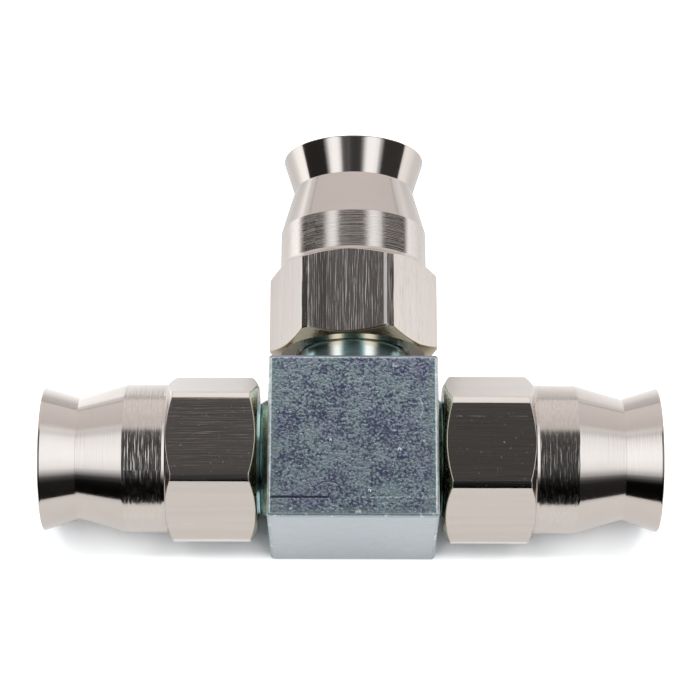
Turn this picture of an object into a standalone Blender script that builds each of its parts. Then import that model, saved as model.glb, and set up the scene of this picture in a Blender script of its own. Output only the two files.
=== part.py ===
"""Three-way fitting for braided hose: a square steel tee body with three turned
spigots, a hexagonal socket screwed on each, and a clamping olive inside each socket.

Metres, +Z up. The origin is the centre of the block's underside, on which the
fitting lies. The straight run goes along X and the branch points along +Y.
"""
import math

import bmesh
import bpy
from mathutils import Matrix, Vector

# Square block
BLOCK_WIDTH = 0.0160
BLOCK_DEPTH = 0.01575
BLOCK_HEIGHT = 0.0160
BLOCK_EDGE_BEVEL = 0.00036

# Ports: gap from the block's face to the socket, and the socket's turn in degrees
GAP_LEFT = 0.00102
GAP_RIGHT = 0.00057
GAP_REAR = 0.00247
TURN_LEFT = 1.2
TURN_RIGHT = 3.1
TURN_REAR = -4.8

# Spigot, from the block's face outwards
THREAD_RADIUS = 0.0047
THREAD_LENGTH = 0.0051
THREAD_END_CHAMFER = 0.0004
RELIEF_DEPTH = 0.0004
RELIEF_LENGTH = 0.0009
SHANK_STEP = 0.0006
SHANK_LENGTH = 0.0017
COLLAR_STEP = 0.00055
COLLAR_LENGTH = 0.00082
BORE_RADIUS = 0.0012
NIPPLE_WALL = 0.00055
NIPPLE_LENGTH = 0.0065
NIPPLE_TIP_CHAMFER = 0.00025
SEAT_RISE = 0.00135
SEAT_LENGTH = 0.0016
DRILL_POINT = 0.0007
DRILL_PAST_CENTRE = 0.0005

# Olive
TUBE_WALL = 0.0007
OLIVE_WALL = 0.0011
OLIVE_LENGTH = 0.0042
OLIVE_TAIL_LENGTH = 0.0026
OLIVE_TAIL_WALL = 0.00035
OLIVE_EDGE = 0.00015

# Socket, outside
FACE_LAND = 0.00132
FACE_STEP = 0.00028
HEX_LENGTH = 0.00890
CORNER_RISE = 0.000915
HEX_CHAMFER_ANGLE = 30.0
SHOULDER_LAND = 0.00027
SHOULDER_RISE = 0.00006
BARREL_STEP = 0.000145
BARREL_LENGTH = 0.00374
TAPER_LENGTH = 0.00446
FLARE_LENGTH = 0.00344
NECK_WALL = 0.00233
FLARE_RISE = 0.0011
RIM_EDGE = 0.00018

# Socket, inside
MOUTH_EDGE = 0.0002
HOSE_BORE_RADIUS = 0.0035
HOSE_LAND = 0.0015
BELL_LENGTH = 0.0029
LIP_WIDTH = 0.0010
UNDERCUT_LENGTH = 0.0012
UNDERCUT_DEPTH = 0.0003
BRAID_ROOM = 0.0010

# Clearances; the last is between the block and a socket screwed right home
SHANK_CLEARANCE = 0.00015
THREAD_CLEARANCE = 0.0003
SEAT_CLEARANCE = 0.0003
HOME_CLEARANCE = 0.00027

# Tools: how far each runs past what it cuts
DRILL_OVERRUN = 0.002
MILL_OVERRUN = 0.001
MILL_WALL = 0.003

# Facets round each turned piece, and the least angle that shows as an edge
SPIGOT_FACETS = 40
BORE_FACETS = 24
SOCKET_FACETS = 48
OLIVE_FACETS = 32
BELL_STEPS = 6
EDGE_ANGLE = 25.0

# Sizes that follow from the ones above
PORT_HEIGHT = BLOCK_HEIGHT / 2
SHANK_RADIUS = THREAD_RADIUS + SHANK_STEP
COLLAR_RADIUS = SHANK_RADIUS + COLLAR_STEP
NIPPLE_RADIUS = BORE_RADIUS + NIPPLE_WALL
SEAT_RADIUS = NIPPLE_RADIUS + SEAT_RISE
SHANK_END = COLLAR_LENGTH + SHANK_LENGTH
RELIEF_END = SHANK_END + RELIEF_LENGTH
THREAD_END = RELIEF_END + THREAD_LENGTH
SEAT_END = THREAD_END + SEAT_LENGTH
NIPPLE_END = SEAT_END + NIPPLE_LENGTH

OLIVE_BORE_RADIUS = NIPPLE_RADIUS + TUBE_WALL
OLIVE_RADIUS = OLIVE_BORE_RADIUS + OLIVE_WALL
OLIVE_START = THREAD_END + SEAT_CLEARANCE

COUNTERBORE_RADIUS = SHANK_RADIUS + SHANK_CLEARANCE
COUNTERBORE_END = SHANK_END + SHANK_CLEARANCE - HOME_CLEARANCE
MOUTH_RADIUS = COUNTERBORE_RADIUS + MOUTH_EDGE
SOCKET_THREAD_RADIUS = THREAD_RADIUS + THREAD_CLEARANCE
SOCKET_THREAD_END = THREAD_END + THREAD_CLEARANCE - HOME_CLEARANCE
UNDERCUT_RADIUS = SOCKET_THREAD_RADIUS + UNDERCUT_DEPTH
UNDERCUT_END = SOCKET_THREAD_END + UNDERCUT_LENGTH
SEAT_BORE_RADIUS = OLIVE_RADIUS + BRAID_ROOM

FACE_RADIUS = MOUTH_RADIUS + FACE_LAND
HEX_ACROSS_FLATS = 2 * (FACE_RADIUS + FACE_STEP)
HEX_SHARP_RADIUS = HEX_ACROSS_FLATS / math.sqrt(3)
BLANK_RADIUS = HEX_ACROSS_FLATS / 2 + CORNER_RISE
BARREL_RADIUS = HEX_ACROSS_FLATS / 2 - BARREL_STEP
SHOULDER_RADIUS = BARREL_RADIUS + SHOULDER_RISE
NECK_RADIUS = HOSE_BORE_RADIUS + NECK_WALL
RIM_RADIUS = NECK_RADIUS + FLARE_RISE
BELL_RADIUS = RIM_RADIUS - LIP_WIDTH
BARREL_END = HEX_LENGTH + BARREL_LENGTH
NECK_END = BARREL_END + TAPER_LENGTH
SOCKET_LENGTH = NECK_END + FLARE_LENGTH
BELL_START = SOCKET_LENGTH - BELL_LENGTH
SEAT_BORE_END = BELL_START - HOSE_LAND

# Port name: outward direction, block face distance, socket gap, socket turn
PORTS = {
    "left": (Vector((-1, 0, 0)), BLOCK_WIDTH / 2, GAP_LEFT, TURN_LEFT),
    "right": (Vector((1, 0, 0)), BLOCK_WIDTH / 2, GAP_RIGHT, TURN_RIGHT),
    "rear": (Vector((0, 1, 0)), BLOCK_DEPTH / 2, GAP_REAR, TURN_REAR),
}


def clear_scene():
    for item in list(bpy.data.objects):
        bpy.data.objects.remove(item, do_unlink=True)


def metal(name, colour, roughness):
    material = bpy.data.materials.new(name)
    material.use_nodes = True
    shader = material.node_tree.nodes["Principled BSDF"]
    shader.inputs["Base Color"].default_value = (*colour, 1.0)
    shader.inputs["Roughness"].default_value = roughness
    shader.inputs["Metallic"].default_value = 1.0
    material.diffuse_color = (*colour, 1.0)
    return material


def finish_mesh(bm, name, material=None):
    """Turn the bmesh into a mesh with smooth sides and sharp corners."""
    bmesh.ops.recalc_face_normals(bm, faces=bm.faces)
    mesh = bpy.data.meshes.new(name)
    bm.to_mesh(mesh)
    bm.free()
    mesh.shade_smooth()
    mesh.set_sharp_from_angle(angle=math.radians(EDGE_ANGLE))
    if material:
        mesh.materials.append(material)
    return mesh


def add_object(name, mesh):
    item = bpy.data.objects.new(name, mesh)
    bpy.context.scene.collection.objects.link(item)
    return item


def guide(item):
    """Keep an object as an operand only, shown in outline."""
    item.hide_render = True
    item.display_type = "WIRE"
    return item


def turned(profile, facets, closed):
    """Spin (station, radius) points about Z. An open profile starts and ends on the axis."""
    bm = bmesh.new()
    verts = [bm.verts.new((radius, 0.0, station)) for station, radius in profile]
    pairs = list(zip(verts, verts[1:]))
    if closed:
        pairs.append((verts[-1], verts[0]))
    edges = [bm.edges.new(pair) for pair in pairs]
    bmesh.ops.spin(
        bm, geom=verts + edges, cent=(0, 0, 0), axis=(0, 0, 1),
        angle=2 * math.pi, steps=facets, use_merge=True,
    )
    bmesh.ops.remove_doubles(bm, verts=bm.verts, dist=1e-7)
    return bm


def boolean(item, operation, operand):
    modifier = item.modifiers.new(operand.name, "BOOLEAN")
    modifier.operation = operation
    modifier.object = guide(operand)
    modifier.solver = "EXACT"


def pose_along(direction, distance, turn):
    """Matrix that sets a piece's own Z along a port, its X up and then turned."""
    upright = Vector((0, 0, 1))
    side = direction.cross(upright)
    axes = Matrix((upright, side, direction)).transposed()
    place = Matrix.Translation(Vector((0, 0, PORT_HEIGHT)) + direction * distance)
    return place @ axes.to_4x4() @ Matrix.Rotation(math.radians(turn), 4, "Z")


def block_mesh(material):
    bm = bmesh.new()
    bmesh.ops.create_cube(bm, size=1.0)
    bmesh.ops.scale(bm, vec=(BLOCK_WIDTH, BLOCK_DEPTH, BLOCK_HEIGHT), verts=bm.verts)
    bmesh.ops.translate(bm, vec=(0, 0, PORT_HEIGHT), verts=bm.verts)
    bmesh.ops.bevel(
        bm, geom=bm.edges[:], offset=BLOCK_EDGE_BEVEL, segments=2,
        profile=0.5, affect="EDGES",
    )
    return finish_mesh(bm, "block", material)


def spigot_mesh(material, sunk):
    """Solid spigot. Its station 0 lies on the block's face; the root is sunk inside."""
    profile = [
        (-sunk, 0.0),
        (-sunk, COLLAR_RADIUS),
        (0.0, COLLAR_RADIUS),
        (COLLAR_LENGTH, SHANK_RADIUS),
        (SHANK_END, SHANK_RADIUS),
        (SHANK_END, THREAD_RADIUS - RELIEF_DEPTH),
        (RELIEF_END - RELIEF_DEPTH, THREAD_RADIUS - RELIEF_DEPTH),
        (RELIEF_END, THREAD_RADIUS),
        (THREAD_END - THREAD_END_CHAMFER, THREAD_RADIUS),
        (THREAD_END, THREAD_RADIUS - THREAD_END_CHAMFER),
        (THREAD_END, SEAT_RADIUS),
        (SEAT_END, NIPPLE_RADIUS),
        (NIPPLE_END - NIPPLE_TIP_CHAMFER, NIPPLE_RADIUS),
        (NIPPLE_END, NIPPLE_RADIUS - NIPPLE_TIP_CHAMFER),
        (NIPPLE_END, 0.0),
    ]
    return finish_mesh(turned(profile, SPIGOT_FACETS, closed=False), "spigot", material)


def drill_mesh(name, start, end, pointed):
    """Drill along Z from start to end, with a drill point at the start of a blind hole."""
    tip = DRILL_POINT if pointed else 0.0
    profile = [(start - tip, 0.0), (start, BORE_RADIUS), (end, BORE_RADIUS), (end, 0.0)]
    return finish_mesh(turned(profile, BORE_FACETS, closed=False), name)


def build_body(material):
    body = add_object("tee_body", block_mesh(material))
    spigot = spigot_mesh(material, sunk=COLLAR_LENGTH)
    for port, (direction, face, _, _) in PORTS.items():
        blank = add_object(f"spigot_blank_{port}", spigot)
        blank.matrix_world = pose_along(direction, face, 0.0)
        boolean(body, "UNION", blank)

    across, reach, _, _ = PORTS["right"]
    half_run = reach + NIPPLE_END + DRILL_OVERRUN
    run = add_object("run_drill", drill_mesh("run_drill", -half_run, half_run, pointed=False))
    run.matrix_world = pose_along(across, 0.0, 0.0)
    boolean(body, "DIFFERENCE", run)

    back, reach, _, _ = PORTS["rear"]
    branch_end = reach + NIPPLE_END + DRILL_OVERRUN
    branch = add_object(
        "branch_drill", drill_mesh("branch_drill", -DRILL_PAST_CENTRE, branch_end, pointed=True)
    )
    branch.matrix_world = pose_along(back, 0.0, 0.0)
    boolean(body, "DIFFERENCE", branch)
    return body


def socket_blank():
    """Turned form of the socket: chamfered blank, barrel, taper and flare, bored through."""
    slope = math.tan(math.radians(HEX_CHAMFER_ANGLE))
    face_chamfer = (BLANK_RADIUS - FACE_RADIUS) * slope
    cone_end = HEX_LENGTH - SHOULDER_LAND
    cone_start = cone_end - (BLANK_RADIUS - SHOULDER_RADIUS) * slope
    outside = [
        (0.0, FACE_RADIUS),
        (face_chamfer, BLANK_RADIUS),
        (cone_start, BLANK_RADIUS),
        (cone_end, SHOULDER_RADIUS),
        (HEX_LENGTH, BARREL_RADIUS),
        (BARREL_END, BARREL_RADIUS),
        (NECK_END, NECK_RADIUS),
        (SOCKET_LENGTH - RIM_EDGE, RIM_RADIUS - RIM_EDGE * FLARE_RISE / FLARE_LENGTH),
        (SOCKET_LENGTH, RIM_RADIUS - RIM_EDGE),
    ]
    bell = []
    for step in range(BELL_STEPS + 1):
        angle = math.pi / 2 * (1 - step / BELL_STEPS)
        station = BELL_START + BELL_LENGTH * math.sin(angle)
        radius = BELL_RADIUS - (BELL_RADIUS - HOSE_BORE_RADIUS) * math.cos(angle)
        bell.append((station, radius))
    inside = [
        (SEAT_BORE_END, HOSE_BORE_RADIUS),
        (UNDERCUT_END, SEAT_BORE_RADIUS),
        (UNDERCUT_END, UNDERCUT_RADIUS),
        (SOCKET_THREAD_END, UNDERCUT_RADIUS),
        (SOCKET_THREAD_END, SOCKET_THREAD_RADIUS),
        (COUNTERBORE_END, SOCKET_THREAD_RADIUS),
        (COUNTERBORE_END, COUNTERBORE_RADIUS),
        (MOUTH_EDGE, COUNTERBORE_RADIUS),
        (0.0, MOUTH_RADIUS),
    ]
    return turned(outside + bell + inside, SOCKET_FACETS, closed=True)


def hex_mill():
    """Ring with a hexagonal hole, which mills the six flats and leaves the corners turned."""
    bm = bmesh.new()
    for radius in (HEX_SHARP_RADIUS, HEX_SHARP_RADIUS + MILL_WALL):
        bmesh.ops.create_circle(bm, segments=6, radius=radius)
    bmesh.ops.bridge_loops(bm, edges=bm.edges[:])
    bmesh.ops.translate(bm, vec=(0, 0, -MILL_OVERRUN), verts=bm.verts)
    raised = bmesh.ops.extrude_face_region(bm, geom=bm.faces[:], use_keep_orig=True)["geom"]
    lifted = [item for item in raised if isinstance(item, bmesh.types.BMVert)]
    bmesh.ops.translate(bm, vec=(0, 0, MILL_OVERRUN + HEX_LENGTH), verts=lifted)
    return finish_mesh(bm, "hex_mill")


def build_sockets(material):
    mill = hex_mill()
    mesh = finish_mesh(socket_blank(), "socket", material)
    for port, (direction, face, gap, turn) in PORTS.items():
        pose = pose_along(direction, face + gap, turn)
        socket = add_object(f"socket_{port}", mesh)
        socket.matrix_world = pose
        cutter = add_object(f"hex_mill_{port}", mill)
        cutter.matrix_world = pose
        boolean(socket, "DIFFERENCE", cutter)


def olive_mesh(material):
    """Clamping olive, station 0 at its seat end, coned inside to sit over the spigot's seat."""
    slope = SEAT_RISE / SEAT_LENGTH
    spread = SEAT_CLEARANCE * math.hypot(1.0, slope)
    front = SEAT_RADIUS - slope * SEAT_CLEARANCE + spread
    cone = (front - OLIVE_BORE_RADIUS) / slope
    tail_radius = OLIVE_BORE_RADIUS + OLIVE_TAIL_WALL
    profile = [
        (0.0, front),
        (0.0, OLIVE_RADIUS - OLIVE_EDGE),
        (OLIVE_EDGE, OLIVE_RADIUS),
        (OLIVE_LENGTH - OLIVE_TAIL_LENGTH, OLIVE_RADIUS),
        (OLIVE_LENGTH, tail_radius),
        (OLIVE_LENGTH, OLIVE_BORE_RADIUS),
        (cone, OLIVE_BORE_RADIUS),
    ]
    return finish_mesh(turned(profile, OLIVE_FACETS, closed=True), "olive", material)


def build_olives(material):
    mesh = olive_mesh(material)
    for port, (direction, face, _, _) in PORTS.items():
        olive = add_object(f"olive_{port}", mesh)
        olive.matrix_world = pose_along(direction, face + OLIVE_START, 0.0)


clear_scene()
build_body(metal("zinc_plate", (0.42, 0.46, 0.50), 0.38))
build_sockets(metal("nickel_plate", (0.72, 0.68, 0.66), 0.24))
build_olives(metal("olive_brass", (0.72, 0.52, 0.24), 0.32))
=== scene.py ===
"""Looks of the three-way fitting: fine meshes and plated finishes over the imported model."""
import math

import bmesh
import bpy
from mathutils import Matrix, Vector

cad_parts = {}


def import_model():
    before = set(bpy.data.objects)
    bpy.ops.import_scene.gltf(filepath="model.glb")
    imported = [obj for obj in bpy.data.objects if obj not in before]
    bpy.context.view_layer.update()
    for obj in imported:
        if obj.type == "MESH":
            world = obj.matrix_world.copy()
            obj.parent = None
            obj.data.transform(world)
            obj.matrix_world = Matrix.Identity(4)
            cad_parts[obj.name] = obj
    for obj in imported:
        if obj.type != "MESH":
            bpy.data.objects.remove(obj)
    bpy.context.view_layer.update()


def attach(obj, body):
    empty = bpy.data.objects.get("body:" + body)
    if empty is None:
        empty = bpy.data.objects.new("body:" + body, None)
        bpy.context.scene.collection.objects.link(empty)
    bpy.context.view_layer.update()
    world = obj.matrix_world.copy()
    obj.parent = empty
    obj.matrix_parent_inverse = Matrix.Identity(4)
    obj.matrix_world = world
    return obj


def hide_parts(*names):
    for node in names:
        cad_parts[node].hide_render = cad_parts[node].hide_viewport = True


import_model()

MM = 0.001
MM_PER_METRE = 1000.0
DEGREES_PER_RADIAN = 57.2958
PORT_HEIGHT = 8.0

# Block and spigot, in millimetres, as in the model
BLOCK = (16.0, 15.75, 16.0)
BLOCK_BEVEL, BEVEL_STEPS, BEVEL_RIM = 0.36, 5, 0.03
COLLAR_R, SHANK_R, THREAD_R, NIPPLE_R, BORE_R, SEAT_R = 5.85, 5.3, 4.7, 1.75, 1.2, 3.1
COLLAR_END, SHANK_END, RELIEF_END = 0.82, 2.52, 3.42
THREAD_END, SEAT_END, NIPPLE_END = 8.52, 10.12, 16.62
THREAD_TURNS, THREAD_CREST, THREAD_ROOT, RELIEF_DEPTH = 5, 0.12, 0.32, 0.4
ROOT_DEPTH, ROOT_STEP, BORE_START = 0.4, 0.1, 0.2
RELIEF_LEAN, SEAT_LEAN, NIPPLE_CHAMFER, BORE_CHAMFER = 0.05, 0.03, 0.25, 0.1

# Socket, outside and inside
FACE_R, HEX_HALF, HEX_CORNER_R, HEX_LENGTH = 6.97, 7.25, 8.165, 8.90
SHOULDER_LAND, SHOULDER_R, BARREL_R, NECK_R, RIM_R = 0.27, 7.165, 7.105, 5.83, 6.93
BARREL_END, NECK_END, LENGTH = 12.64, 17.10, 20.54
BELL_R, BELL_START, HOSE_R, SEAT_BORE_END = 5.93, 17.64, 3.5, 16.14
MOUTH_R, MOUTH_BORE_R, MOUTH_EDGE, MOUTH_DEPTH = 5.65, 5.45, 0.2, 2.4
THREAD_BORE_R, THREAD_BORE_END, UNDERCUT_R, UNDERCUT_END, OLIVE_SEAT_R = 5.0, 8.55, 5.3, 9.75, 4.55
RIM_LAND, MOUTH_LAND, BELL_EDGE_DEPTH, BELL_EDGE_WIDTH = 0.15, 0.04, 0.01, 0.05
CHAMFER_DEGREES = 30

# Fineness of the meshes: a fillet reaches along a side at most by this share of it, and the guard
# points beside it keep the shading of straight parts true
FILLET_STEPS, FILLET_SHARE, GUARD, GUARD_SHARE = 4, 0.42, 0.03, 0.05
FLAT_STEPS, CORNER_STEPS, SOFT_DEGREES, SOFT_DROP = 20, 4, 0.5, 0.012
BELL_STEPS, SPIGOT_FACETS, OLIVE_FACETS, SHARP_DEGREES = 16, 128, 64, 25.0

# Olive: (station, radius) round its section, and its gap to the end of the thread
OLIVE = [(0.0, 3.24), (0.0, 3.4), (0.15, 3.55), (1.6, 3.55), (4.2, 2.8), (4.2, 2.45), (0.94, 2.45)]
OLIVE_GAP = 0.3

# Port name: outward direction, distance of the block's face, gap to the socket, socket's turn
PORTS = {
    "left": (Vector((-1, 0, 0)), 8.0, 1.02, 1.2),
    "right": (Vector((1, 0, 0)), 8.0, 0.57, 3.1),
    "rear": (Vector((0, 1, 0)), 7.875, 2.47, -4.8),
}

# Surface coordinates are millimetres at one radius for each kind of piece. Each port starts this
# much further on in the patterns than the one before.
SOCKET_UV_R, SPIGOT_UV_R, OLIVE_UV_R = 7.0, 5.0, 3.0
PORT_STEP_U, PORT_STEP_V = 37.0, 53.0


def pose_along(direction, distance):
    """Matrix that puts a turned piece on a port's axis, at a distance from the block's middle."""
    side = direction.cross(Vector((0, 0, 1)))
    axes = Matrix((Vector((0, 0, 1)), side, direction)).transposed().to_4x4()
    return Matrix.Translation((Vector((0, 0, PORT_HEIGHT)) + direction * distance) * MM) @ axes


# Node helpers

class Tree:
    """Adds shader nodes; each call returns the new node's first output."""

    def __init__(self, tree):
        self.tree = tree
        tree.nodes.clear()

    def node(self, kind, inputs=(), **settings):
        item = self.tree.nodes.new("ShaderNode" + kind)
        for key, value in settings.items():
            setattr(item, key, value)
        for key, value in dict(inputs).items():
            self.fill(item.inputs[key], value)
        return item

    def fill(self, socket, value):
        """Link a node's output to a socket, or set a plain value on it."""
        if isinstance(value, bpy.types.NodeSocket):
            self.tree.links.new(value, socket)
        else:
            socket.default_value = value

    def __call__(self, kind, inputs=(), **settings):
        item = self.node(kind, inputs, **settings)
        return item.outputs[0] if item.outputs else item

    def math(self, operation, *values):
        return self("Math", dict(enumerate(values)), operation=operation)

    def times(self, a, b):
        return self.math("MULTIPLY", a, b)

    def plus(self, a, b):
        return self.math("ADD", a, b)

    def minus(self, a, b):
        return self.math("SUBTRACT", a, b)

    def most(self, a, b):
        return self.math("MAXIMUM", a, b)

    def size(self, a):
        return self.math("ABSOLUTE", a)

    def step(self, value, low, high):
        """Smooth rise from 0 at low to 1 at high, or a fall where high is the smaller."""
        return self(
            "MapRange", {"Value": value, "From Min": low, "From Max": high},
            interpolation_type="SMOOTHSTEP",
        )

    def band(self, value, start, full, falling, end):
        """1 between full and falling, 0 before start and after end."""
        return self.times(self.step(value, start, full), self.step(value, end, falling))

    def line(self, value, at, outer, inner):
        """1 where the value is within inner of a place, 0 beyond outer."""
        return self.step(self.size(self.minus(value, at)), outer, inner)

    def mix(self, factor, a, b):
        item = self.tree.nodes.new("ShaderNodeMix")
        item.data_type = "RGBA"
        self.fill(item.inputs[0], factor)
        for socket, value in ((item.inputs[6], a), (item.inputs[7], b)):
            self.fill(socket, value if isinstance(value, bpy.types.NodeSocket) else (*value, 1.0))
        return item.outputs[2]

    def curve(self, value, points):
        """Piecewise linear function of a value, given as (value, result) points up to 1."""
        low, high = points[0][0], points[-1][0]
        share = self("MapRange", {"Value": value, "From Min": low, "From Max": high})
        item = self.node("ValToRGB", {"Fac": share})
        ramp = item.color_ramp
        ramp.interpolation = "LINEAR"
        while len(ramp.elements) < len(points):
            ramp.elements.new(0.5)
        for stop, (at, level) in enumerate(points):
            ramp.elements[stop].position = (at - low) / (high - low)
            ramp.elements[stop].color = (level, level, level, 1.0)
        return item.outputs[0]

    def xyz(self, x, y, z=0.0):
        return self("CombineXYZ", {"X": x, "Y": y, "Z": z})

    def parts(self, vector):
        return self.node("SeparateXYZ", {"Vector": vector}).outputs

    def scaled(self, vector, factors):
        return self("VectorMath", {0: vector, 1: factors}, operation="MULTIPLY")

    def distance(self, a, b=(0.0, 0.0, 0.0)):
        return self.node("VectorMath", {0: a, 1: b}, operation="DISTANCE").outputs["Value"]

    def noise(self, vector, scale, detail=2.0, rough=0.5):
        return self(
            "TexNoise",
            {"Vector": vector, "Scale": scale, "Detail": detail, "Roughness": rough},
        )

    def streaks(self, u, v, across, along, detail, rough=0.5):
        """Noise with its own scale round and along a turned surface."""
        return self.noise(self.xyz(self.times(u, across), self.times(v, along)), 1.0, detail, rough)

    def dots(self, vector, scale, outer, inner, chance):
        """Round dots in some cells of a pattern; a cell's chance rises between two limits."""
        cells = self.node("TexVoronoi", {"Vector": vector, "Scale": scale, "Randomness": 1.0})
        drawn = self.parts(cells.outputs["Color"])[0]
        return self.times(self.step(cells.outputs["Distance"], outer, inner), self.step(drawn, *chance))


def material(name):
    made = bpy.data.materials.new(name)
    made.use_nodes = True
    return made, Tree(made.node_tree)


def metal_output(t, colour, roughness, height, distance, anisotropic=0.0, rotation=0.0):
    """Metal with bump; distance is the bump's depth in metres."""
    bump = t("Bump", {"Height": height, "Distance": distance, "Strength": 1.0})
    inputs = {
        "Base Color": colour, "Roughness": roughness, "Metallic": 1.0, "Normal": bump,
        "Anisotropic": anisotropic, "Anisotropic Rotation": rotation,
    }
    if anisotropic:
        inputs["Tangent"] = t("Tangent", direction_type="RADIAL", axis="Z")
    shader = t("BsdfPrincipled", inputs)
    t("OutputMaterial", {"Surface": shader})


def surface_mm(t):
    """Millimetres round (u) and along (v) a turned surface."""
    u, v, _ = t.parts(t("UVMap", uv_map="mm"))
    return u, v


# Nickel plate

NICKEL_DARK = (0.54, 0.475, 0.435)
NICKEL_LIGHT = (0.61, 0.535, 0.490)
NICKEL_SHORT_MARKS = (0.63, 0.56, 0.515)
# Bright nicks and a scratch; the same colour makes the rear socket's painted glint
NICKEL_NICK_AND_GLINT = (0.92, 0.86, 0.82)
# Painted reflection: tan on the sockets' mouth faces
NICKEL_MOUTH_PAINTED_REFLECTION = (0.60, 0.50, 0.36)
# Corner lands of the hexagons: their colours are painted reflections, pale on the side sockets, grey and
# in part dark on the rear one
LAND_PAINTED_PALE_REFLECTION, LAND_PAINTED_GREY_REFLECTION, LAND_PAINTED_DARK_REFLECTION = (0.78, 0.71, 0.66), (0.50, 0.45, 0.41), (0.27, 0.22, 0.195)
PAINTED_REFLECTION_BAND = (0.20, 0.19, 0.18)

# Places round the hexagons: a long scratch, and what the photo shows on the rear socket's upper
# flat: a painted dark reflection band, a thin painted glint, and the start of the corner land in
# a painted dark reflection
SCRATCH_U = 35.2
REAR_PAINTED_REFLECTION_U = (70.55, 70.8, 71.4, 71.7)
REAR_PAINTED_GLINT_U = (76.50, 76.60, 76.76, 76.82)
REAR_PAINTED_DARK_LAND_U = (77.4, 76.9)


def nickel_tone(t, fine, cloud):
    share = t.plus(t.times(fine, 0.45), t.times(cloud, 0.55))
    return t.mix(share, NICKEL_DARK, NICKEL_LIGHT)


def nickel_cloud(t, u, v):
    return t.streaks(u, v, 0.35, 0.35, 3.0)


def nickel_hex(name, rear):
    """Nickel plate of a hexagon, brushed lengthwise, with nicks, dust and a scratch, and corner
    lands in a painted reflection colour. The rear one is brushed deeper, is less dusty, and has a
    painted dark reflection band and a painted glint on its upper flat, and its land beside that
    flat painted darker."""
    made, t = material(name)
    u, v = surface_mm(t)
    fine = t.streaks(u, v, 8.0, 0.20, 2.0)
    broad = t.streaks(u, v, 1.6, 0.06, 1.0)
    height = t.plus(fine, t.times(broad, 0.7))
    cloud = t.plus(t.times(nickel_cloud(t, u, v), 0.3), t.times(t.step(broad, 0.3, 0.7), 0.7))
    colour = nickel_tone(t, fine, cloud)

    nick_and_glint = t.dots(t.xyz(u, v), 0.5, 0.055, 0.02, (0.66, 0.70))
    waver = t.times(t.noise(t.xyz(0.0, v), 0.5, 2.0), 0.15)
    scratch = t.line(t.plus(u, waver), SCRATCH_U, 0.06, 0.02)
    scratch = t.times(scratch, t.step(t.noise(t.xyz(0.0, v), 0.8, 1.0), 0.42, 0.55))
    nick_and_glint = t.most(nick_and_glint, t.times(scratch, 0.35))

    dust = t.step(t.noise(t.xyz(u, v), 2.8, 3.0, 0.6), 0.60, 0.78)
    rough = t.plus(t.times(fine, 0.16), 0.07 if rear else 0.04)
    rough = t.plus(rough, t.times(dust, 0.10 if rear else 0.26))
    rough = t.plus(rough, t.times(nick_and_glint, 0.4))

    place = t.node("TexCoord")
    flat = t.scaled(place.outputs["Object"], (MM_PER_METRE, MM_PER_METRE, 0.0))
    # The corner lands get a painted reflection colour: pale on the side sockets, grey on the rear one
    land = t.step(t.distance(flat), HEX_CORNER_R - 0.04, HEX_CORNER_R - 0.01)
    colour = t.mix(land, colour, LAND_PAINTED_GREY_REFLECTION if rear else LAND_PAINTED_PALE_REFLECTION)
    if rear:
        # Painted dark reflection on the rear's corner land beside its upper flat
        colour = t.mix(t.times(land, t.step(u, *REAR_PAINTED_DARK_LAND_U)), colour, LAND_PAINTED_DARK_REFLECTION)
        # Painted glint: a thin bright line in the nick colour, with rougher metal
        painted_glint = t.band(u, *REAR_PAINTED_GLINT_U)
        nick_and_glint = t.most(nick_and_glint, painted_glint)
        rough = t.plus(rough, t.times(painted_glint, 0.35))
        # Painted dark reflection band across the rear's upper flat
        colour = t.mix(t.times(t.band(u, *REAR_PAINTED_REFLECTION_U), 0.5), colour, PAINTED_REFLECTION_BAND)
    colour = t.mix(t.times(nick_and_glint, 0.8), colour, NICKEL_NICK_AND_GLINT)
    metal_output(t, colour, rough, height, 0.000032 if rear else 0.000011)
    return made


def nickel_lathe(name, depth, barrel, gloss=0.095, ringed=0.12, streaked=1.0, rings=9.0):
    """Turned nickel plate: fine rings and longer streaks round the socket, with the depth of
    their bump in metres. The barrel has short coarse marks as well, and the rest has a painted
    tan reflection on its mouth face."""
    made, t = material(name)
    u, v = surface_mm(t)
    fine = t.streaks(u, v, 0.10, rings, 1.0)
    streak = t.streaks(u, v, 0.36, 5.2, 1.0)
    height = t.plus(t.times(fine, ringed), t.times(streak, streaked))
    rough = t.plus(t.times(streak, 0.06), gloss)
    colour = nickel_tone(t, fine, nickel_cloud(t, u, v))
    if barrel:
        short = t.streaks(u, v, 1.3, 5.0, 2.0, 0.6)
        colour = t.mix(t.step(short, 0.3, 0.7), colour, NICKEL_SHORT_MARKS)
        rough = t.plus(rough, t.times(t.step(short, 0.45, 0.65), 0.10))
    else:
        # Painted reflection: a tan tint on the first millimetres of the profile, the mouth face
        front = t.step(t.math("MODULO", v, PORT_STEP_V), 2.9, 2.5)
        colour = t.mix(front, colour, NICKEL_MOUTH_PAINTED_REFLECTION)
    metal_output(t, colour, rough, height, depth)
    return made


# Zinc plate and brass

# Pale marks on the block's top, listed: x, y and radius in millimetres
PALE_MARKS = ((3.95, 6.85, 0.36), (-5.75, -7.15, 0.20), (-5.9, 2.2, 0.14), (0.5, -7.5, 0.34),
              (6.6, -0.6, 0.18), (3.85, 0.45, 0.22))
MARK_SQUASH = 1.3
SCRIBED_Y = -5.98
ARC_MIDDLE, ARC_R = (-2.3, -6.2, 0.0), 1.65
CURL_STRETCH, CURL_MIDDLE, CURL_R = 2.2, (13.4, 2.6, 0.0), 0.85
DARK_LINE_HEIGHT = 15.62


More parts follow.
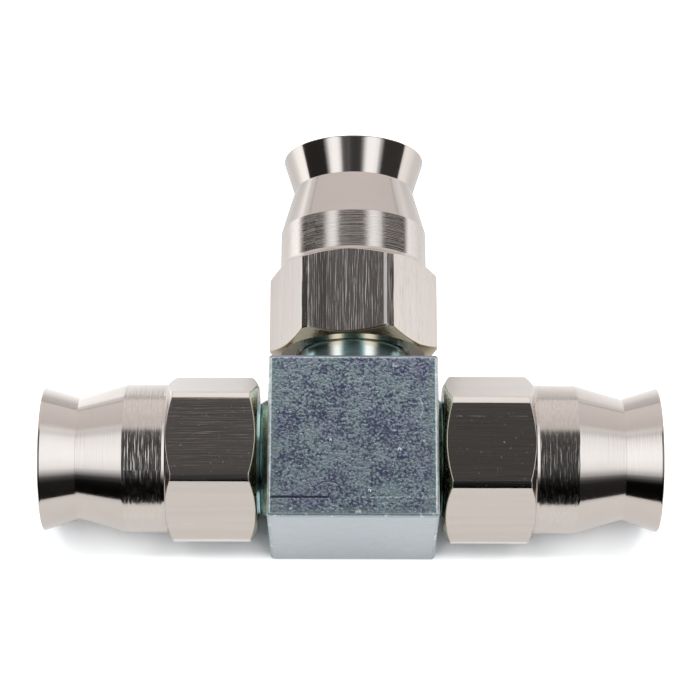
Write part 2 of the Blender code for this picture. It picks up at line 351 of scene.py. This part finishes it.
def zinc_marks(t, x, y, up, vein):
    """Dark and pale marks on the block's top: a scribed line near the front that is dark on the
    left, a short curved scratch beside it, a pale curl, and a few pale spots."""
    top = t.step(up, 0.9, 0.99)
    wander = t.times(t.noise(t.xyz(x, 0.0), 0.9, 2.0), 0.16)
    off = t.size(t.plus(t.minus(y, SCRIBED_Y), wander))
    dark = t.times(t.step(off, 0.17, 0.08), t.step(x, -1.7, -2.5))
    arc = t.line(t.distance(t.xyz(x, y), ARC_MIDDLE), ARC_R, 0.10, 0.03)
    arc = t.times(arc, t.step(y, -5.0, -4.8))
    dark = t.times(t.most(dark, arc), top)

    pale = t.times(t.times(t.step(off, 0.09, 0.03), t.step(x, -1.0, 1.5)), 0.6)
    squashed = t.xyz(x, t.times(y, MARK_SQUASH))
    for at_x, at_y, size in PALE_MARKS:
        off = t.distance(squashed, (at_x, at_y * MARK_SQUASH, 0.0))
        off = t.plus(off, t.times(vein, 0.3))
        pale = t.most(pale, t.step(off, size + 0.2, size))
    curl = t.distance(t.xyz(t.times(x, CURL_STRETCH), y), CURL_MIDDLE)
    curl = t.times(t.line(curl, CURL_R, 0.16, 0.04), t.step(x, 6.10, 6.35))
    pale = t.times(t.most(pale, t.times(curl, 0.8)), top)
    return dark, t.times(pale, t.plus(t.step(vein, 0.40, 0.60), 0.25))


def zinc_block():
    """Zinc plate of the block: mottled top and sides, plain sawn front and back, worn edges."""
    made, t = material("zinc_block")
    place = t.node("TexCoord")
    mm = t.scaled(place.outputs["Object"], (MM_PER_METRE,) * 3)
    across, deep, up = (t.size(part) for part in t.parts(place.outputs["Normal"]))
    cut = t.step(deep, 0.6, 0.95)
    edge = t.step(t.most(across, t.most(deep, up)), 0.998, 0.95)
    x, y, z = t.parts(mm)

    # Mottled top and sides: teal grey and lilac, with indigo grains and pale veins. There are
    # fewer grains near the left, right and front edges.
    grain = t.noise(mm, 3.8, 2.0, 0.6)
    clump = t.minus(t.noise(mm, 0.60, 3.0, 0.6), 0.5)
    drift = t.noise(mm, 0.20, 2.0, 0.5)
    base = t.mix(t.step(drift, 0.38, 0.60), (0.72, 0.80, 0.99), (0.75, 0.94, 1.00))
    sway = t.times(clump, 2.0)
    inner = t.times(t.step(t.plus(t.size(x), sway), 7.5, 6.6), t.step(t.plus(y, sway), -7.6, -7.0))
    base = t.mix(inner, (0.68, 0.86, 0.90), base)
    shade = t.plus(grain, t.times(clump, 0.68))
    grains = t.times(t.step(shade, 0.58, 0.36), t.plus(t.times(inner, 0.7), 0.25))
    tone = t.mix(grains, base, (0.23, 0.24, 0.44))
    vein = t.noise(mm, 4.6, 2.0, 0.55)
    tone = t.mix(t.times(t.step(vein, 0.50, 0.72), 0.6), tone, (0.92, 0.97, 0.96))
    dot = t.dots(mm, 0.62, 0.12, 0.05, (0.62, 0.68))
    tone = t.mix(t.times(dot, 0.85), tone, (0.93, 0.96, 0.94))
    dark, pale = zinc_marks(t, x, y, up, vein)
    tone = t.mix(t.times(dark, 0.9), tone, (0.07, 0.08, 0.14))
    tone = t.mix(t.times(pale, 0.7), tone, (0.90, 0.95, 0.93))

    # Plainer sawn front and back with a dark line under their top edges, and worn edges, bright at the
    # sides and duller at the front; the edges are darker towards the back
    brushed = t.noise(t.scaled(mm, (0.5, 1.0, 3.0)), 1.6, 3.0, 0.6)
    plain = t.mix(t.step(brushed, 0.3, 0.7), (0.462, 0.488, 0.516), (0.514, 0.555, 0.574))
    nibble = t.noise(mm, 1.3, 3.0, 0.6)
    bright = t.mix(t.step(nibble, 0.45, 0.62), (0.72, 0.74, 0.72), (0.95, 0.95, 0.91))
    dull = t.mix(t.step(nibble, 0.56, 0.64), (0.50, 0.57, 0.60), bright)
    bare = t.mix(t.step(y, 0.0, 1.0), dull, (0.36, 0.36, 0.40))
    bare = t.mix(t.step(deep, 0.1, 0.3), bright, bare)
    colour = t.mix(edge, t.mix(cut, tone, plain), bare)
    dark_line = t.times(t.line(z, DARK_LINE_HEIGHT, 0.09, 0.03), cut)
    colour = t.mix(t.times(dark_line, 0.6), colour, (0.12, 0.12, 0.13))

    scuff = t.noise(t.scaled(mm, (0.35, 1.0, 1.0)), 9.0, 2.0, 0.6)
    height = t.plus(t.plus(grain, t.times(scuff, 0.35)), t.times(dot, 0.8))
    flatten = t.minus(1.0, t.times(cut, 0.93))
    height = t.times(t.minus(height, t.times(dark, 0.3)), flatten)
    rough = t.plus(t.plus(t.times(grain, 0.20), 0.14), t.times(t.most(edge, pale), 0.25))
    metal_output(t, colour, rough, height, 0.00003)
    return made


def zinc_turned(name, painted_highlight_share, shade):
    """Turned zinc plate, teal, with a painted highlight band on each side of its top and painted shade
    further round from the top.
    """
    made, t = material(name)
    u, v = surface_mm(t)
    fine = t.streaks(u, v, 0.12, 12.0, 3.0, 0.6)
    drift = t.streaks(u, v, 0.30, 1.1, 3.0, 0.6)
    angle = t.math("DIVIDE", t.math("MODULO", u, PORT_STEP_U), SPIGOT_UV_R)
    angle = t.math("PINGPONG", angle, math.pi)
    teal = [level * shade for level in (0.36, 0.56, 0.60)]
    green = [level * shade for level in (0.44, 0.66, 0.62)]
    colour = t.mix(t.step(drift, 0.36, 0.64), teal, green)
    # Painted shade: darker teal away from the top
    colour = t.mix(t.step(angle, 0.60, 0.80), colour, [level * 0.8 for level in teal])
    # Painted highlight: a pale band on each side of the top
    pale = t.band(angle, 0.15, 0.25, 0.42, 0.54)
    colour = t.mix(t.times(pale, painted_highlight_share), colour, (0.78, 0.77, 0.71))
    colour = t.mix(t.times(fine, 0.15 * shade), colour, (0.72, 0.76, 0.70))
    height = t.plus(t.times(fine, 0.5), drift)
    rough = t.plus(t.times(fine, 0.10), 0.15)
    metal_output(t, colour, rough, height, 0.000012)
    return made


def brass_turned():
    """Turned brass of the olives, of which only the ends show, through the hose bores."""
    made, t = material("brass_turned")
    u, v = surface_mm(t)
    fine = t.streaks(u, v, 0.12, 12.0, 3.0, 0.6)
    colour = t.mix(fine, (0.62, 0.42, 0.17), (0.84, 0.63, 0.31))
    rough = t.plus(t.times(fine, 0.2), 0.2)
    metal_output(t, colour, rough, fine, 0.00001, 0.5, 0.25)
    return made


# Meshes

def fillet(points, radii, steps):
    """Round each inner corner of a (station, radius) polyline with a short arc and a guard point
    close to each end of it."""
    out = [points[0]]
    for before, corner, after, radius in zip(points, points[1:], points[2:], radii[1:]):
        p, c, n = Vector(before), Vector(corner), Vector(after)
        a, b = (p - c), (n - c)
        half = a.angle(b) / 2
        reach = min(radius / math.tan(half), FILLET_SHARE * a.length, FILLET_SHARE * b.length)
        start, end = c + a.normalized() * reach, c + b.normalized() * reach
        out.append(tuple(start + a.normalized() * min(GUARD, GUARD_SHARE * a.length)))
        for k in range(steps + 1):
            s = k / steps
            out.append(tuple(start * (1 - s) ** 2 + c * 2 * s * (1 - s) + end * s * s))
        out.append(tuple(end + b.normalized() * min(GUARD, GUARD_SHARE * b.length)))
    out.append(points[-1])
    return out


def mesh_from_rings(name, rings, materials, pick, shift, uv_radius, sharp=None):
    """Skin a list of profiles, one for each angle, into one turned body. pick(j) gives a
    profile segment's material, and shift moves the surface coordinates."""
    bm = bmesh.new()
    angles = [angle for angle, _ in rings]
    verts = [
        [bm.verts.new((r * math.cos(a) * MM, r * math.sin(a) * MM, s * MM)) for s, r in profile]
        for a, profile in rings
    ]
    layer = bm.loops.layers.uv.new("mm")
    count, length = len(rings), len(rings[0][1])
    base = rings[0][1]
    along = [0.0]
    for p, q in zip(base, base[1:] + base[:1]):
        along.append(along[-1] + math.dist(p, q))
    for i in range(count):
        k = (i + 1) % count
        a0 = angles[i]
        a1 = angles[k] if k else angles[0] + 2 * math.pi
        for j in range(length):
            m = (j + 1) % length
            face = bm.faces.new((verts[i][j], verts[k][j], verts[k][m], verts[i][m]))
            face.smooth = True
            face.material_index = pick(j)
            corners = ((a0, along[j]), (a1, along[j]), (a1, along[j + 1]), (a0, along[j + 1]))
            for loop, (a, d) in zip(face.loops, corners):
                loop[layer].uv = (a * uv_radius + shift[0], d + shift[1])
    bmesh.ops.recalc_face_normals(bm, faces=bm.faces)
    mesh = bpy.data.meshes.new(name)
    bm.to_mesh(mesh)
    bm.free()
    if sharp:
        mesh.set_sharp_from_angle(angle=math.radians(sharp))
    for item in materials:
        mesh.materials.append(item)
    return mesh


def hex_rings(turn):
    """Angle and radius round the hexagon, whose corners are turned to a circle. Samples lie
    close together where a flat runs into a corner."""
    sixth = math.pi / 3
    half = sixth / 2 - math.acos(HEX_HALF / HEX_CORNER_R)
    flat = sixth / 2 - half
    soft = math.radians(SOFT_DEGREES)
    offsets = [-flat + soft + (flat - soft) * 2 * k / FLAT_STEPS for k in range(FLAT_STEPS + 1)]
    offsets += [flat - soft / 2, flat, flat + soft / 2]
    offsets += [flat + soft + (half - soft) * 2 * k / CORNER_STEPS for k in range(CORNER_STEPS + 1)]
    offsets += [flat + 2 * half - soft / 2, flat + 2 * half, flat + 2 * half + soft / 2]
    offsets = sorted(set(round(o, 9) for o in offsets if o < sixth / 2 + half + soft / 1.5))
    rings = []
    for sector in range(6):
        for off in offsets:
            away = abs((off + sixth / 2) % sixth - sixth / 2)
            radius = min(HEX_HALF / math.cos(away), HEX_CORNER_R)
            edge = abs(away - flat) / soft
            if edge < 1:
                radius -= SOFT_DROP * (1 - edge) ** 2
            rings.append((sector * sixth + off + turn, radius))
    return rings


def socket_inside():
    """Profile of the socket's inside, from the bell at the hose end back to the mouth."""
    profile = [(LENGTH - BELL_EDGE_DEPTH, BELL_R + BELL_EDGE_WIDTH)]
    for step in range(1, BELL_STEPS + 1):
        bend = math.pi / 2 * (1 - step / BELL_STEPS)
        profile.append((BELL_START + (LENGTH - BELL_START) * math.sin(bend),
                        BELL_R - (BELL_R - HOSE_R) * math.cos(bend)))
    return profile + [
        (SEAT_BORE_END, HOSE_R), (UNDERCUT_END, OLIVE_SEAT_R), (UNDERCUT_END, UNDERCUT_R),
        (THREAD_BORE_END, UNDERCUT_R), (THREAD_BORE_END, THREAD_BORE_R),
        (MOUTH_DEPTH, THREAD_BORE_R), (MOUTH_DEPTH, MOUTH_BORE_R), (MOUTH_EDGE, MOUTH_BORE_R),
    ]


def socket_mesh(name, materials, shift, turn):
    """Socket in three materials: the turned parts, the hexagon's flats and the barrel."""
    slope = math.tan(math.radians(CHAMFER_DEGREES))
    inside = socket_inside()
    rings = []
    for angle, h in hex_rings(math.radians(turn)):
        crest = (h - FACE_R) * slope
        cone_end = HEX_LENGTH - SHOULDER_LAND
        back = cone_end - (h - SHOULDER_R) * slope
        points = [
            (0.0, MOUTH_R), (0.0, FACE_R), (crest, h), (back, h), (cone_end, SHOULDER_R),
            (HEX_LENGTH, BARREL_R), (BARREL_END, BARREL_R), (NECK_END, NECK_R),
            (LENGTH, RIM_R), (LENGTH, BELL_R + RIM_LAND),
        ]
        radii = [0, 0.05, 0.17, 0.15, 0.05, 0.06, 0.35, 0.04, 0.16, 0]
        outline = fillet(points, radii, FILLET_STEPS)
        outline.insert(1, (0.0, MOUTH_R + MOUTH_LAND))
        rings.append((angle, outline + inside))

    # Segments of the outline: each filleted corner makes this many points
    corner = FILLET_STEPS + 3
    hexagon = range(2 * corner, 2 * corner + 3)
    barrel = range(5 * corner + 1, 5 * corner + 4)

    def pick(j):
        if j in hexagon:
            return 1
        return 2 if j in barrel else 0

    return mesh_from_rings(name, rings, materials, pick, shift, SOCKET_UV_R)


def lathe(name, profile, finish, facets, shift, uv_radius):
    """A closed profile of (station, radius) points, turned in one finish."""
    rings = [(2 * math.pi * k / facets, profile) for k in range(facets)]
    return mesh_from_rings(name, rings, [finish], lambda j: 0, shift, uv_radius, SHARP_DEGREES)


def block_mesh(finish):
    """The square block with rounded edges, and a thin rim round each flat for true shading."""
    bm = bmesh.new()
    bmesh.ops.create_cube(bm, size=1.0)
    bmesh.ops.scale(bm, vec=[s * MM for s in BLOCK], verts=bm.verts)
    bmesh.ops.translate(bm, vec=(0, 0, PORT_HEIGHT * MM), verts=bm.verts)
    bmesh.ops.bevel(bm, geom=bm.edges[:], offset=BLOCK_BEVEL * MM, segments=BEVEL_STEPS,
                    profile=0.5, affect="EDGES")
    flats = [face for face in bm.faces if face.calc_area() > 100 * MM * MM]
    bmesh.ops.inset_individual(bm, faces=flats, thickness=BEVEL_RIM * MM)
    for face in bm.faces:
        face.smooth = True
    mesh = bpy.data.meshes.new("tee_block")
    bm.to_mesh(mesh)
    bm.free()
    mesh.materials.append(finish)
    return mesh


def spigot_profile(face):
    """Profile of a spigot from inside the block outwards, with its thread as simple ridges."""
    points = [
        (-face + BORE_START, BORE_R), (-ROOT_DEPTH, BORE_R), (-ROOT_DEPTH, COLLAR_R + ROOT_STEP),
        (0.0, COLLAR_R + ROOT_STEP), (0.0, COLLAR_R), (COLLAR_END, SHANK_R), (SHANK_END, SHANK_R),
        (SHANK_END + RELIEF_LEAN, THREAD_R - RELIEF_DEPTH),
        (RELIEF_END - RELIEF_DEPTH, THREAD_R - RELIEF_DEPTH),
    ]
    pitch = (THREAD_END - RELIEF_END) / THREAD_TURNS
    for k in range(THREAD_TURNS):
        start = RELIEF_END + k * pitch
        points += [(start, THREAD_R - THREAD_ROOT), (start + 0.4 * pitch, THREAD_R + THREAD_CREST),
                   (start + 0.6 * pitch, THREAD_R + THREAD_CREST)]
    return points + [
        (THREAD_END, THREAD_R - RELIEF_DEPTH), (THREAD_END + SEAT_LEAN, SEAT_R),
        (SEAT_END, NIPPLE_R), (NIPPLE_END - NIPPLE_CHAMFER, NIPPLE_R),
        (NIPPLE_END, NIPPLE_R - NIPPLE_CHAMFER), (NIPPLE_END, BORE_R + BORE_CHAMFER),
        (NIPPLE_END - BORE_CHAMFER, BORE_R),
    ]


def place(name, mesh, matrix, *nodes):
    """Put a mesh in the scene on the part's body, in place of the model's nodes that it shows."""
    item = bpy.data.objects.new(name, mesh)
    bpy.context.scene.collection.objects.link(item)
    item.matrix_world = matrix
    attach(item, "root")
    if nodes:
        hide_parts(*nodes)
    return item


def build():
    flats = {"side": nickel_hex("nickel_hex", False), "rear": nickel_hex("nickel_hex_deep", True)}
    barrels = {
        "left": nickel_lathe("nickel_barrel", 0.00005, True),
        "right": nickel_lathe("nickel_barrel_soft", 0.0000275, True),
        "rear": nickel_lathe("nickel_barrel_fine", 0.000025, True, gloss=0.07, ringed=0.60,
                             streaked=0.12, rings=15.0),
    }
    turned = nickel_lathe("nickel_turned", 0.00003, False, gloss=0.06, streaked=0.08)
    brass = brass_turned()
    # The rear collar has the painted highlight bands in full, the side ones a tenth of them
    collars = {
        "side": zinc_turned("zinc_turned_dark", 0.1, 1.2), "rear": zinc_turned("zinc_turned", 1.0, 1.0),
    }

    block = place("tee_block", block_mesh(zinc_block()), Matrix.Identity(4), "tee_body")
    for index, (port, (direction, face, gap, turn)) in enumerate(PORTS.items()):
        shift = (PORT_STEP_U * index, PORT_STEP_V * index)
        kind = "rear" if port == "rear" else "side"

        name = f"spigot_{port}"
        mesh = lathe(name, spigot_profile(face), collars[kind], SPIGOT_FACETS, shift, SPIGOT_UV_R)
        spigot = place(name, mesh, pose_along(direction, face))

        name = f"socket_fine_{port}"
        mesh = socket_mesh(name, [turned, flats[kind], barrels[port]], shift, turn)
        socket = place(name, mesh, pose_along(direction, face + gap), f"socket_{port}")

        name = f"olive_fine_{port}"
        mesh = lathe(name, OLIVE, brass, OLIVE_FACETS, shift, OLIVE_UV_R)
        olive = place(name, mesh, pose_along(direction, face + THREAD_END + OLIVE_GAP), f"olive_{port}")


# Stage, light and camera

# The fitting's footprint in millimetres: half sizes of the run, then of the branch and its middle
RUN_FOOT_X, RUN_FOOT_Y = 29.3, 7.3
BRANCH_FOOT_X, BRANCH_FOOT_Y, BRANCH_MIDDLE = 6.8, 12.0, 10.5


def floor():
    """Pale floor that keeps the fitting's shadow. Outside the footprint it has extra light for
    camera rays, so that the background is white, and at the sides a glow for glossy rays."""
    bm = bmesh.new()
    bmesh.ops.create_grid(bm, x_segments=1, y_segments=1, size=3.0)
    mesh = bpy.data.meshes.new("floor")
    bm.to_mesh(mesh)
    bm.free()
    made, t = material("floor_white")
    path = t.node("LightPath")
    axes = t.parts(t.node("TexCoord").outputs["Object"])
    x = t.times(t.size(axes[0]), MM_PER_METRE)
    y = t.times(axes[1], MM_PER_METRE)

    def beyond(a, b):
        """Distance outside a rectangle, from the distances outside its two pairs of sides."""
        outside = t.distance(t.xyz(t.most(a, 0.0), t.most(b, 0.0)))
        return t.plus(outside, t.math("MINIMUM", t.most(a, b), 0.0))

    run = beyond(t.minus(x, RUN_FOOT_X), t.minus(t.size(y), RUN_FOOT_Y))
    branch = beyond(t.minus(x, BRANCH_FOOT_X), t.minus(t.size(t.minus(y, BRANCH_MIDDLE)), BRANCH_FOOT_Y))
    outside = t.step(t.math("MINIMUM", run, branch), -0.4, 1.5)
    # A little of it under the outer ends of the run as well, where the photo's shadow is light
    outside = t.most(outside, t.times(t.step(x, 12.0, 24.0), 0.17))
    seen = t.times(outside, path.outputs["Is Camera Ray"])
    seen = t("Emission", {"Color": (0.68, 0.68, 0.68, 1), "Strength": seen})

    side = t.times(t.times(t.step(x, 15.0, 40.0), t.step(y, -5.0, 10.0)), t.step(y, 90.0, 50.0))
    lean = t.minus(1.0, t.times(t.math("SIGN", axes[0]), 0.3))
    side = t.times(t.times(side, lean), path.outputs["Is Glossy Ray"])
    glossy = t("Emission", {"Color": (0.49, 0.54, 0.56, 1), "Strength": side})

    # The metal sees a darker floor than the camera does, and a darker one still behind
    far = t.times(t.step(y, 14.0, 50.0), t.step(x, 75.0, 40.0))
    pale = t.mix(far, (0.86, 0.86, 0.86), (0.675, 0.675, 0.675))
    pale = t.mix(path.outputs["Is Camera Ray"], pale, (0.97, 0.97, 0.97))
    glow = t("AddShader", {0: glossy, 1: seen})
    t("OutputMaterial", {"Surface": t("AddShader", {0: t("BsdfDiffuse", {"Color": pale}), 1: glow})})
    mesh.materials.append(made)
    item = bpy.data.objects.new("floor", mesh)
    bpy.context.scene.collection.objects.link(item)


# Brightness of the room by angle in degrees, chosen so that the metal's reflections are as in the
# photo. Tilt is from straight up towards the back, seen along x; side and back are how far a
# direction leans towards +x and +y.
BOX_TILT = [(-60, 0.0), (-54, 0.03), (-48, 0.16), (-42, 0.46), (-36, 0.74), (-30, 0.88), (-18, 0.98),
            (-4, 1.0), (10, 0.96), (22, 0.85), (34, 0.52), (46, 0.0)]
BOX_SIDE = [(-50, 0.0), (-45, 0.35), (-41, 0.84), (-36, 1.0), (-27, 1.0), (-22.5, 0.70),
            (-18.5, 0.12), (-14, 0.06), (-8, 0.07), (-4, 0.03), (3, 0.02), (11, 0.03), (15, 0.20),
            (19, 0.66), (23, 0.98), (34, 1.0), (40, 0.88), (45, 0.45), (51, 0.0)]
SWEEP_BACK = [(23, 0.0), (27.5, 0.30), (32, 0.82), (45, 0.88), (60, 0.95), (72, 1.0), (90, 1.0)]
ROOM_BACK = [(-52, 0.003), (-38, 0.02), (-10, 0.03), (9, 0.035), (13, 0.058), (16, 0.070), (19, 0.068),
             (21.5, 0.088), (24, 0.12), (30, 0.14)]
BOX_COLOUR = (1.62, 1.74, 1.83)
BOX_MIDDLE, BOX_NARROWING = 31.5, 0.28


def world():
    """White for the camera. For the metal: a white sweep behind, a dark room in front and at the
    sides, and two softboxes overhead, which get narrower towards the back."""
    made = bpy.data.worlds.new("studio")
    made.use_nodes = True
    bpy.context.scene.world = made
    t = Tree(made.node_tree)
    x, y, z = t.parts(t.node("TexCoord").outputs["Generated"])
    side = t.times(t.math("ARCSINE", x), DEGREES_PER_RADIAN)
    tilt = t.times(t.math("ARCTAN2", y, z), DEGREES_PER_RADIAN)
    back = t.times(t.math("ARCSINE", y), DEGREES_PER_RADIAN)

    middle = t.times(t.math("SIGN", x), BOX_MIDDLE)
    narrow = t.plus(t.times(t.step(tilt, -12.0, 16.0), BOX_NARROWING), 1.0)
    spread = t.plus(middle, t.times(t.minus(side, middle), narrow))
    crossed = t.math("LESS_THAN", t.times(spread, x), 0.0)
    spread = t.times(spread, t.minus(1.0, crossed))
    boxes = t.times(t.curve(spread, BOX_SIDE), t.curve(tilt, BOX_TILT))

    dim = t.plus(t.curve(back, ROOM_BACK), t.times(t.step(x, 0.25, 0.5), 0.02))
    level = t.most(t.curve(back, SWEEP_BACK), dim)
    colour = t.mix(boxes, level, BOX_COLOUR)
    colour = t.mix(t.node("LightPath").outputs["Is Camera Ray"], colour, (1, 1, 1))
    t("OutputWorld", {"Surface": t("Background", {"Color": colour, "Strength": 1.0})})


def lamp(name, x):
    """Area lamp over the table, turned to the fitting and left out of reflections. Lengths are
    in metres, the power in watts."""
    width, depth, power, y, z = 0.36, 0.12, 1.4, -0.05, 0.60
    data = bpy.data.lights.new(name, "AREA")
    data.shape = "RECTANGLE"
    data.size, data.size_y = width, depth
    data.energy = power
    item = bpy.data.objects.new(name, data)
    bpy.context.scene.collection.objects.link(item)
    item.location = (x, y, z)
    item.rotation_euler = (-item.location).to_track_quat("-Z", "Y").to_euler()
    item.visible_glossy = False


def camera():
    """The photograph's view: 71 degrees above the table, from the front. Lengths in millimetres,
    the focal length in pixels."""
    elevation, yaw, roll = (math.radians(a) for a in (70.888, -0.270, 0.425))
    distance, shift_x, shift_y, focal = 253.544, 0.289, -10.475, 2642.703
    sensor_width, image_width = 36.0, 700.0
    level = math.cos(elevation)
    back = Vector((math.sin(yaw) * level, -math.cos(yaw) * level, math.sin(elevation)))
    right = Vector((0, 0, 1)).cross(back).normalized()
    up = back.cross(right)
    right_r = right * math.cos(roll) + up * math.sin(roll)
    up_r = -right * math.sin(roll) + up * math.cos(roll)
    data = bpy.data.cameras.new("camera")
    data.sensor_width = sensor_width
    data.lens = focal * sensor_width / image_width
    data.clip_start, data.clip_end = 0.01, 20.0
    item = bpy.data.objects.new("camera", data)
    bpy.context.scene.collection.objects.link(item)
    at = Vector((0, 0, PORT_HEIGHT)) + back * distance - right_r * shift_x - up_r * shift_y
    axes = Matrix((right_r, up_r, back)).transposed().to_4x4()
    item.matrix_world = Matrix.Translation(at * MM) @ axes
    bpy.context.scene.camera = item


build()
floor()
world()
lamp("lamp_left", -0.15)
lamp("lamp_right", 0.15)
camera()
bpy.context.scene.view_settings.view_transform = "Standard"

bpy.context.view_layer.update()
